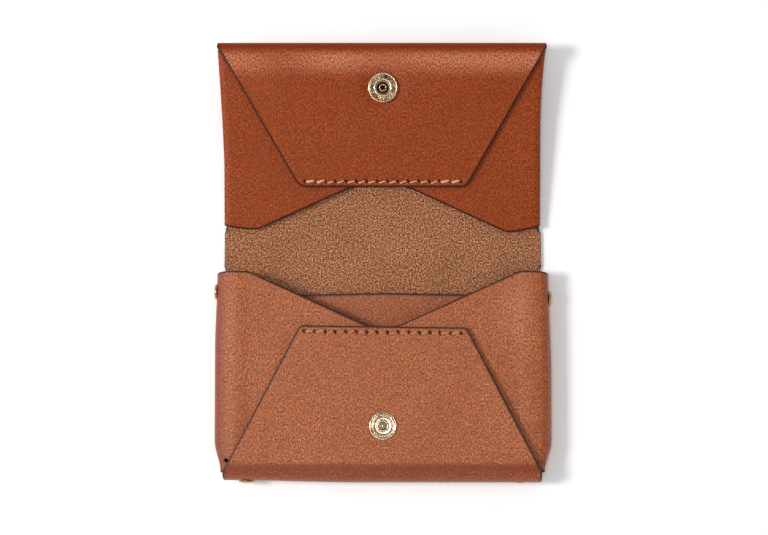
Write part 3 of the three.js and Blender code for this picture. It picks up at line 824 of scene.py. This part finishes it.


# The lower pocket's and the divider's grain are paler than the upper's: painted sheen for the broad sheen
# on their level faces.
upper_grain = grain_leather("upper grain", tone(146, 60, 20), tone(108, 38, 9), tone(188, 88, 36),
                            pebble=0.6, gloss=0.4, wax=0.12, burnish_and_shade_width=0.8)
lower_grain = grain_leather("lower grain", tone(168, 84, 38), tone(112, 48, 17), tone(222, 130, 74),
                            pebble=0.9, gloss=0.34, wax=0.34, burnish_and_shade_width=0.8)
divider_grain = grain_leather("divider grain", tone(166, 84, 42), tone(118, 52, 21), tone(210, 122, 72),
                              pebble=0.8, gloss=0.38, wax=0.34, burnish_and_shade_width=1.1)
suede = suede_leather("suede")
dark_edge = cut_edge("cut edge")
pale_linen = waxed_thread("pale waxed thread", tone(206, 146, 98), tone(250, 218, 176))
tan_linen = waxed_thread("tan waxed thread", tone(170, 104, 62), tone(222, 160, 112))
pale_brass = plated_metal("pale brass", tone(230, 208, 182), tone(172, 148, 122), 0.15)
warm_brass = plated_metal("warm brass", tone(214, 168, 120), tone(130, 90, 56), 0.22)
# A darker brass for the socket's marked band and two rings of the stud
darker_brass = plated_metal("darker brass", tone(196, 164, 132), tone(84, 62, 44), 0.24)
# Near black metal: painted shade inside the snap's hollows
painted_hollow_shade = plated_metal("painted_hollow_shade", tone(60, 42, 28), tone(28, 20, 15), 0.5)
spring_steel = plated_metal("spring steel", tone(170, 150, 128), tone(112, 96, 80), 0.34)


def dress(piece, *materials):
    """Gives the piece its materials and keeps what each face has chosen from them."""
    chosen = [face.material_index for face in piece.data.polygons]
    piece.data.materials.clear()
    for material in materials:
        piece.data.materials.append(material)
    if len(materials) > 1:
        piece.data.polygons.foreach_set("material_index", chosen)


# Leather pieces. On the folded sheet the inner face is suede and the outer face is grain.
LEAST_DARK = 0.04  # painted fold shade fainter than this doesn't keep a place from getting painted sheen


def lower_painted_light(flat):
    """Painted shade at the hard folds of the lower pocket, along its side creases and in a band above the
    bottom one, and on its side and bottom walls, with painted sheen beside them as values below zero."""
    u, v = np.abs(flat[:, 0]), flat[:, 1]
    past = u - LOWER_SIDE_CREASE
    on_left, above_base = flat[:, 0] < 0, v > -71
    # Painted shade along the side creases and on the side walls, both stronger on the left, and in a band
    # above the bottom fold and on the bottom wall
    side = np.where(on_left, 1, 0.5) * np.exp(-((past - 0.2) / 0.9) ** 2) * above_base
    side_wall = np.where(on_left, 0.85, 0.3) * smooth((u - LOWER_SIDE_START - 2) / 3)
    side_wall = side_wall * (past < 0) * above_base
    beyond = -v - LOWER_BASE_CREASE
    band = smooth((beyond + 0.4) / 0.8) * smooth((3.6 - beyond) / 1.6) * (u < 53)
    wall = 0.6 * smooth((-v - LOWER_BASE_START - 2) / 3) * (beyond < 0) * (u < 53)
    # Painted sheen beside the left flap's fold and high on the right flap
    left = np.exp(-((past - 3.4) / 1.5) ** 2) * smooth((-v - 5) / 8) * smooth((66 + v) / 10) * on_left
    right = np.exp(-((past - 10) / 5) ** 2 - ((v + 17) / 9) ** 2) * (flat[:, 0] > 0)
    dark = np.maximum(np.maximum(side, band), np.maximum(wall, side_wall))
    return np.where(dark > LEAST_DARK, dark, -(0.16 * left + 0.34 * right) * above_base)


def upper_painted_light(flat):
    """A band of painted shade along the top fold, and a band of painted sheen below it on the front flap.
    """
    beyond = flat[:, 1] - UPPER_TOP_CREASE
    dark = smooth((beyond + 3.5) / 2) * smooth((1.1 - beyond) / 0.9)
    # Painted sheen in a patchy band below the top fold
    sheen_band = smooth((beyond - 0.8) / 2.2) * smooth((11 - beyond) / 7)
    patchy = 0.75 + 0.25 * waves(flat[:, 0], flat[:, 1], 8, 30)
    return np.where(dark > LEAST_DARK, dark, -0.85 * sheen_band * patchy)


def on_middle(y, z=0.0):
    """A place on the middle line, in the frame's metres."""
    return (0, (y + SHIFT_Y) * MM, z * MM)


def folded_lower():
    piece = sheet_mesh("lower_sheet", lower_outline(), lower_holes(), lower_fold,
                       LEATHER, POCKET_SPACING, is_cut, lower_painted_light)
    dress(piece, suede, lower_grain, dark_edge)
    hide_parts("lower_pocket_leather")
    start, end = on_middle(LOWER_FOLD_Y, LOWER_FOLD_Z), on_middle(CREASE_END_Y, LOWER_FOLD_Z)
    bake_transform(piece)
    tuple(start)
    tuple(end)


def folded_upper():
    piece = sheet_mesh("upper_sheet", upper_outline(), upper_holes(), upper_fold,
                       LEATHER, POCKET_SPACING, is_cut, upper_painted_light)
    dress(piece, suede, upper_grain, dark_edge)
    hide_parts("upper_pocket_leather", "spine_leather")
    start, end = on_middle(UPPER_FOLD_Y - BEND_REACH), on_middle(UPPER_FOLD_Y + BEND_REACH)
    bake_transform(piece)
    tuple(start)
    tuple(end)


def inner_divider():
    piece = sheet_mesh("divider_sheet", divider_outline(), [], divider_fold,
                       DIVIDER_LEATHER, DIVIDER_SPACING)
    dress(piece, divider_grain, suede, dark_edge)
    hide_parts("divider")
    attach(piece, "lower_pocket")


# Threads: two plies twisted round each other, stroke by stroke
PLY_RADIUS = 0.115
PLY_TWIST = 0.095  # from the thread's middle to each ply's
PLY_TURN = 1.1  # millimetres for each turn of the twist
PLY_SIDES = 8
STROKE_STEPS = 26
DOUBLED = (0, 1, STITCHES - 3, STITCHES - 2)  # strokes sewn twice, at the ends of a row
NEVER_ALONG = [0.13, 0.97, 0.21]  # a direction that no thread takes


def square_to(path):
    """Two directions square to the path and to each other, at each of its points."""
    tangent = np.gradient(path, axis=0)
    tangent /= np.linalg.norm(tangent, axis=1)[:, None]
    across = np.cross(tangent, NEVER_ALONG)
    across /= np.linalg.norm(across, axis=1)[:, None]
    return across, np.cross(across, tangent)


def spline(points, count):
    """A smooth path through the points."""
    points = [np.array(p, float) for p in points]
    points = [2 * points[0] - points[1]] + points + [2 * points[-1] - points[-2]]
    spans = len(points) - 3
    path = []
    for k in range(count + 1):
        at = k / count * spans
        i = min(int(at), spans - 1)
        t = at - i
        p0, p1, p2, p3 = points[i:i + 4]
        path.append(0.5 * (2 * p1 + (p2 - p0) * t + (2 * p0 - 5 * p1 + 4 * p2 - p3) * t * t
                           + (3 * p1 - p0 - 3 * p2 + p3) * t ** 3))
    return np.array(path)


def tube(path, radius, sides):
    """Points and faces of one closed round tube along a path."""
    across, up = square_to(path)
    angles = np.linspace(0, 2 * math.pi, sides, endpoint=False)
    rings = path[:, None, :] + radius * (across[:, None, :] * np.cos(angles)[None, :, None]
                                         + up[:, None, :] * np.sin(angles)[None, :, None])
    points = rings.reshape(-1, 3)
    faces = []
    for i in range(len(path) - 1):
        for j in range(sides):
            k = (j + 1) % sides
            faces.append((i * sides + j, i * sides + k, (i + 1) * sides + k, (i + 1) * sides + j))
    faces.append(tuple(range(sides))[::-1])
    last = (len(path) - 1) * sides
    faces.append(tuple(last + j for j in range(sides)))
    return points, faces


def plies(path):
    """The two twisted plies of a thread along a path."""
    across, up = square_to(path)
    run = np.concatenate([[0], np.cumsum(np.linalg.norm(np.diff(path, axis=0), axis=1))])
    for phase in (0, math.pi):
        angle = run / PLY_TURN * 2 * math.pi + phase
        yield path + PLY_TWIST * (across * np.cos(angle)[:, None] + up * np.sin(angle)[:, None])


def thread_row(name, places, front_mid, flap_mid, material, open_part, place=as_is):
    """A saddle-stitched row: each stroke leaves the lower end of one slot and dives into the next.
    open_part is how much of each hole, in millimetres, the strokes leave free at both of its sides."""
    top, under = front_mid + LEATHER / 2, flap_mid - LEATHER / 2
    points, faces = [], []

    def add(path):
        for ply in plies(spline(path, STROKE_STEPS)):
            p, f = tube(ply, PLY_RADIUS, PLY_SIDES)
            base = sum(len(block) for block in points)
            points.append(p)
            faces.extend(tuple(base + i for i in face) for face in f)

    rng = np.random.default_rng(41)
    for i in range(STITCHES - 1):
        (x0, y0), (x1, y1) = places[i], places[i + 1]
        wobble = rng.uniform(-0.08, 0.08)
        start, stop = x0 + open_part, x1 - open_part
        add([(start + 0.3, y0 - 0.36, top - 0.9), (start + 0.46, y0 - 0.48, top + 0.02),
             (start + 1.0, y0 - 0.36 + wobble, top + 0.17), (stop - 1.3, y1 - 0.06 + wobble, top + 0.2),
             (stop - 0.8, y1 + 0.06, top + 0.08), (stop - 0.38, y1 + 0.12, top - 0.6)])
        if i in DOUBLED:
            add([(x0 + 0.3, y0 - 0.2, top - 0.9), (x0 + 0.5, y0 - 0.1, top + 0.04),
                 (x0 + 1.1, y0 + 0.05, top + 0.24), (x1 - 1.1, y1 + 0.28, top + 0.26),
                 (x1 - 0.5, y1 + 0.3, top + 0.1), (x1 - 0.26, y1 + 0.3, top - 0.9)])
        add([(x0, y0 + 0.3, under + 0.9), (x0 + 0.3, y0 + 0.3, under - 0.1),
             (x0 + 1.1, y0 + 0.2, under - 0.3), (x1 - 1.1, y1 - 0.2, under - 0.3),
             (x1 - 0.3, y1 - 0.1, under - 0.1), (x1, y1, under + 0.9)])
    points = place(np.vstack(points))
    points[:, 1] += SHIFT_Y
    mesh = bpy.data.meshes.new(name)
    mesh.from_pydata((points * MM).tolist(), [], faces)
    mesh.polygons.foreach_set("use_smooth", [True] * len(mesh.polygons))
    mesh.update()
    piece = link_object(name, mesh)
    dress(piece, material)
    return piece


# Turned metal: a closed profile of (radius, height), with an optional relief worked into its faces
METAL_SHARP_EDGE = math.radians(48)


def turned(name, profile, centre, aim=(0, 0, 1), segments=128, relief=None, place=as_is,
           dark=(0, 0, 0), darker_rings=()):
    """dark is the (least radius, most radius, most height) of the faces in the second material, painted
    shade for hollows, and the last argument lists the (least, most) radii of those in the third, a darker
    brass."""
    profile = np.array(profile, float)
    angles = np.linspace(0, 2 * math.pi, segments, endpoint=False)
    radius, height = profile[:, 0][None, :], profile[:, 1][None, :]
    lift = relief(radius, angles[:, None]) if relief else 0
    x = radius * np.cos(angles)[:, None]
    y = radius * np.sin(angles)[:, None]
    points = np.stack([x, y, height + lift + 0 * x], axis=2).reshape(-1, 3)
    rotation = np.array(Vector((0, 0, 1)).rotation_difference(Vector(aim)).to_matrix())
    points = place(points @ rotation.T + np.array(centre))
    points[:, 1] += SHIFT_Y
    n = len(profile)
    faces, kinds = [], []
    for j in range(n):
        m = (j + 1) % n
        if profile[j, 0] < 1e-6 and profile[m, 0] < 1e-6:
            continue
        r, h = profile[[j, m], 0].mean(), profile[[j, m], 1].mean()
        # Faces on the listed rings get the darker brass.
        kind = 2 if any(least < r < most for least, most in darker_rings) else 0
        # Faces in hollows get the painted shade material.
        kind = 1 if dark[0] <= r <= dark[1] and h <= dark[2] else kind
        for i in range(segments):
            k = (i + 1) % segments
            faces.append((i * n + j, k * n + j, k * n + m, i * n + m))
            kinds.append(kind)
    mesh = bpy.data.meshes.new(name)
    mesh.from_pydata((points * MM).tolist(), [], faces)
    mesh.polygons.foreach_set("material_index", kinds)
    close_mesh(mesh)
    mesh.polygons.foreach_set("use_smooth", [True] * len(mesh.polygons))
    mesh.set_sharp_from_angle(angle=METAL_SHARP_EDGE)
    piece = link_object(name, mesh)
    return piece


def close_mesh(mesh):
    """Closes the points on the axis and turns every face outwards."""
    work = bmesh.new()
    work.from_mesh(mesh)
    bmesh.ops.remove_doubles(work, verts=work.verts, dist=1e-7)
    bmesh.ops.dissolve_degenerate(work, edges=work.edges, dist=1e-8)
    bmesh.ops.recalc_face_normals(work, faces=work.faces)
    work.to_mesh(mesh)
    work.free()


def press_socket():
    """Bright outer rim, a worked band round a raised inner ring, and a mouth painted dark as shade."""
    base = 4.92
    rim = 6.56
    top = 7.0
    profile = [(1.3, base), (4.6, base)]
    profile += arc_points(4.6, base + 0.26, 0.26, -80, 0, 5)
    profile += arc_points(4.58, rim - 0.28, 0.28, 0, 140, 10)
    profile += [(4.2, rim - 0.26)] + [(r, rim - 0.34) for r in (4.12, 3.95, 3.75, 3.55, 3.35, 3.2)]
    profile += arc_points(2.74, top - 0.3, 0.3, 0, 180, 11)
    profile += [(2.42, top - 0.6), (2.44, top - 0.76), (2.7, top - 0.92)]
    profile += [(2.7, base + 0.5), (1.3, base + 0.45)]

    def worked(radius, angle):
        """Small raised marks all round the band."""
        ring = np.exp(-((radius - 3.65) / 0.3) ** 4)
        marks = np.cos(angle * 31) * np.cos(angle * 7 + radius * 6)
        return ring * (0.2 * marks + 0.08 * np.cos(angle * 53 + radius * 11))

    # The mouth gets the painted shade material, and the marked band a darker brass.
    piece = turned("press_socket", profile, (0, SOCKET_Y, 0), segments=288, relief=worked,
                   place=turn_upper, dark=(1.3, 2.71, top - 0.7), darker_rings=((3.12, 4.17),))
    dress(piece, pale_brass, painted_hollow_shade, darker_brass)
    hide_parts("snap_socket")
    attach(piece, "upper_pocket")


def socket_post():
    """Hidden cap, with a hollow post whose end is rolled over."""
    top = 6.4
    profile = [(0.0, 3.0), (4.3, 3.0), (4.4, 3.1), (4.3, 3.35), (1.2, 3.4), (1.1, 3.6), (1.02, top - 0.4)]
    profile += arc_points(1.02, top - 0.2, 0.2, -20, 190, 10)
    profile += [(0.74, top - 0.5), (0.7, 3.7), (0.0, 3.6)]
    # The inside of the hollow post gets the painted shade material.
    piece = turned("socket_post", profile, (0, SOCKET_Y, 0), segments=64, place=turn_upper,
                   dark=(0, 0.79, top - 0.3))
    dress(piece, warm_brass, painted_hollow_shade)
    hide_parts("socket_cap")
    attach(piece, "upper_pocket")


def press_stud():
    """A stepped, rolled flange round a necked knob with a dimple."""
    base = 9.86
    flange = 10.5
    top = 12.14
    profile = [(1.3, base), (4.2, base)]
    profile += arc_points(4.22, base + 0.3, 0.3, -90, 0, 6)
    profile += arc_points(4.24, flange - 0.26, 0.28, 0, 150, 10)
    profile += [(3.92, flange - 0.24), (3.62, flange - 0.3), (3.46, flange - 0.26)]
    profile += arc_points(3.2, flange - 0.06, 0.22, 20, 150, 8)
    profile += [(2.9, flange - 0.2), (2.3, flange - 0.3), (1.88, flange - 0.22)]
    profile += [(1.76, flange + 0.1), (1.76, top - 0.36)]
    profile += arc_points(1.93, top - 0.15, 0.14, -80, 50, 7)
    profile += arc_points(1.66, top - 0.3, 0.3, 60, 130, 6)
    profile += [(1.34, top - 0.2), (1.28, top - 0.6), (1.16, top - 0.92), (0.7, top - 0.86)]
    profile += [(0.35, top - 0.74), (0.0, top - 0.7), (0.0, top - 1.2), (1.3, top - 1.25)]
    # The dimple's wall gets the painted shade material, and two rings a darker brass.
    piece = turned("press_stud", profile, (0, STUD_Y, 0), dark=(1.1, 1.32, top - 0.3),
                   darker_rings=((3.42, 3.75), (1.9, 2.35)))
    dress(piece, pale_brass, painted_hollow_shade, darker_brass)
    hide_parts("snap_stud")
    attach(piece, "lower_pocket")


RIVET_RADIUS = 2.55
RIVET_SINK = 0.3  # how far a cap is pressed into the leather
RIVET_SIDES = {"left_rivet": (-1, 0, 0), "right_rivet": (1, 0, 0),
               "bottom_left_rivet": (0, -1, 0), "bottom_right_rivet": (0, -1, 0)}


def rivet_cap(name, aim):
    """One domed cap over the CAD cap, on the same axis."""
    low, high = (np.array(corner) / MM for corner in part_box(f"{name}_cap"))
    axis = np.array(aim, float)
    depth = abs((high - low) @ axis)
    foot = (low + high) / 2 - axis * depth / 2
    foot[1] -= SHIFT_Y
    dome = [(RIVET_RADIUS * math.sin(a), depth * (0.25 + 0.75 * math.cos(a)))
            for a in np.linspace(1.5, 0.0, 14)]
    profile = [(0.9, -RIVET_SINK), (RIVET_RADIUS - 0.3, -RIVET_SINK), (RIVET_RADIUS, 0.1 - RIVET_SINK)]
    profile += dome + [(0.0, 0.2), (0.9, 0.2)]
    piece = turned(f"{name}_dome", profile, foot, aim=aim, segments=72)
    dress(piece, warm_brass)
    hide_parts(f"{name}_cap")
    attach(piece, "lower_pocket")


folded_lower()
folded_upper()
inner_divider()
lower_row = thread_row("lower_stitching", lower_stitches, LOWER_FRONT_MID, LOWER_FLAP_MID,
                       tan_linen, open_part=0.25)
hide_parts("lower_thread")
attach(lower_row, "lower_pocket")
upper_row = thread_row("upper_stitching", upper_stitches, UPPER_FRONT_MID, UPPER_FLAP_MID,
                       pale_linen, open_part=0.22, place=turn_upper)
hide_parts("upper_thread")
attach(upper_row, "upper_pocket")
press_socket()
socket_post()
press_stud()
for name, aim in RIVET_SIDES.items():
    rivet_cap(name, aim)

# The solids that stay as they are
for name, node in frame["nodes"].items():
    if name == "socket_spring":
        dress(node, spring_steel)
    elif name.endswith("_post") or name == "stud_eyelet":
        dress(node, warm_brass)


# Floor, light and camera, in metres
ROOM_WALLS = 1.0  # strength of the room's light from its sides and from above
ROOM_OVERHEAD = 0.36
FLOOR_REACH = 3.0
FLOOR_Z = -0.00005
CAMERA_DISTANCE = 0.7
CAMERA_TILT = math.radians(3)
CAMERA_LENS = 98.67


def studio():
    floor_mesh = bpy.data.meshes.new("floor")
    signs = ((-1, -1), (1, -1), (1, 1), (-1, 1))
    corners = [(x * FLOOR_REACH, y * FLOOR_REACH, FLOOR_Z) for x, y in signs]
    floor_mesh.from_pydata(corners, [], [(0, 1, 2, 3)])
    floor = link_object("floor", floor_mesh)
    paper = Shader("paper floor", roughness=0.9)
    paper.shader.inputs["Specular IOR Level"].default_value = 0.1
    dress(floor, paper.finish(tone(253, 253, 253)))

    # The room is bright at its walls and dark overhead, where the camera stands.
    world = bpy.data.worlds.new("studio")
    bpy.context.scene.world = world
    world.use_nodes = True
    nodes, links = world.node_tree.nodes, world.node_tree.links
    split = nodes.new("ShaderNodeSeparateXYZ")
    fall = nodes.new("ShaderNodeMapRange")
    fall.inputs["To Min"].default_value = ROOM_WALLS
    fall.inputs["To Max"].default_value = ROOM_OVERHEAD
    links.new(nodes.new("ShaderNodeTexCoord").outputs["Generated"], split.inputs[0])
    links.new(split.outputs["Z"], fall.inputs["Value"])
    links.new(fall.outputs[0], nodes["Background"].inputs["Strength"])
    nodes["Background"].inputs["Color"].default_value = (1, 1, 1, 1)

    def area(name, place, size, power):
        data = bpy.data.lights.new(name, "AREA")
        data.shape = "DISK"
        data.size = size
        data.energy = power
        lamp = link_object(name, data)
        lamp.location = place
        lamp.rotation_euler = (-Vector(place)).to_track_quat("-Z", "Y").to_euler()

    area("softbox", (-0.09, -0.07, 1.0), 0.16, 1.3)
    area("left window", (-0.8, 0.02, 0.85), 0.3, 8.2)

    data = bpy.data.cameras.new("camera")
    data.sensor_width = 36
    data.lens = CAMERA_LENS
    data.clip_start = 0.01
    camera = link_object("camera", data)
    aim = Vector((0.0004, (-3.4 + SHIFT_Y) * MM, 0))
    camera.location = aim + CAMERA_DISTANCE * Vector((0, -math.sin(CAMERA_TILT), math.cos(CAMERA_TILT)))
    camera.rotation_euler = (CAMERA_TILT, 0, 0)
    bpy.context.scene.camera = camera
    bpy.context.scene.view_settings.view_transform = "Standard"


studio()
